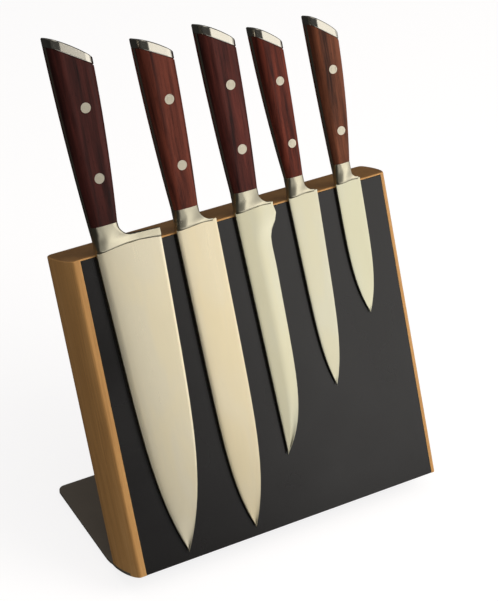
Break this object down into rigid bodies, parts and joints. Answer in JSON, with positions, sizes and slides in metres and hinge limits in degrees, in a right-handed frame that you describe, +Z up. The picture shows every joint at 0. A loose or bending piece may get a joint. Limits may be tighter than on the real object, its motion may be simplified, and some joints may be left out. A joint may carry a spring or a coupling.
{
  "type": "knife magnetic rack",
  "caption": "Free-standing leaning magnetic knife rack: wood board with a black magnetic face on a bent steel foot, holding forged knives that lift off.",
  "frame": {"origin": "middle of the rubber sheet's underside, on the counter", "axes": "+Z up, the magnetic face looks towards -Y and leans back, X runs along the rack's width with the largest knife at -X"},
  "size_m": [0.2306, 0.1408, 0.3394],
  "materials": {
    "board_wood": "oiled",
    "panel_black": "satin",
    "foot_black": "matt powder coat",
    "screw_steel": "zinc plated",
    "rubber": "matt",
    "magnet_nickel": "nickel plated",
    "keeper_steel": "mill finish",
    "blade_steel": "fine satin grind",
    "cap_steel": "polished",
    "scale_wood": "oiled and buffed",
    "rivet_steel": "flush ground"
  },
  "bodies": {
    "rack": {"wood_board": "board_wood", "front_panel": "panel_black", "foot_plate": "foot_black", "foot_screws": "screw_steel", "rubber_sheet": "rubber", "magnets_lower": "magnet_nickel", "keeper_strip_lower": "keeper_steel", "magnets_middle": "magnet_nickel", "keeper_strip_middle": "keeper_steel", "magnets_upper": "magnet_nickel", "keeper_strip_upper": "keeper_steel"},
    "chef_knife": {"chef_blade": "blade_steel", "chef_butt_cap": "cap_steel", "chef_scale_front": "scale_wood", "chef_scale_back": "scale_wood", "chef_rivets": "rivet_steel"},
    "carving_knife": {"carving_blade": "blade_steel", "carving_butt_cap": "cap_steel", "carving_scale_front": "scale_wood", "carving_scale_back": "scale_wood", "carving_rivets": "rivet_steel"},
    "boning_knife": {"boning_blade": "blade_steel", "boning_butt_cap": "cap_steel", "boning_scale_front": "scale_wood", "boning_scale_back": "scale_wood", "boning_rivets": "rivet_steel"},
    "utility_knife": {"utility_blade": "blade_steel", "utility_butt_cap": "cap_steel", "utility_scale_front": "scale_wood", "utility_scale_back": "scale_wood", "utility_rivets": "rivet_steel"},
    "paring_knife": {"paring_blade": "blade_steel", "paring_butt_cap": "cap_steel", "paring_scale_front": "scale_wood", "paring_scale_back": "scale_wood", "paring_rivets": "rivet_steel"}
  },
  "joints": [
    {"name": "chef_lift_off", "type": "slide", "parent": "rack", "child": "chef_knife", "axis": [0, -0.9205, 0.3907], "range_m": [0, 0.12]},
    {"name": "carving_lift_off", "type": "slide", "parent": "rack", "child": "carving_knife", "axis": [0, -0.9205, 0.3907], "range_m": [0, 0.12]},
    {"name": "boning_lift_off", "type": "slide", "parent": "rack", "child": "boning_knife", "axis": [0, -0.9205, 0.3907], "range_m": [0, 0.12]},
    {"name": "utility_lift_off", "type": "slide", "parent": "rack", "child": "utility_knife", "axis": [0, -0.9205, 0.3907], "range_m": [0, 0.12]},
    {"name": "paring_lift_off", "type": "slide", "parent": "rack", "child": "paring_knife", "axis": [0, -0.9205, 0.3907], "range_m": [0, 0.12]}
  ]
}
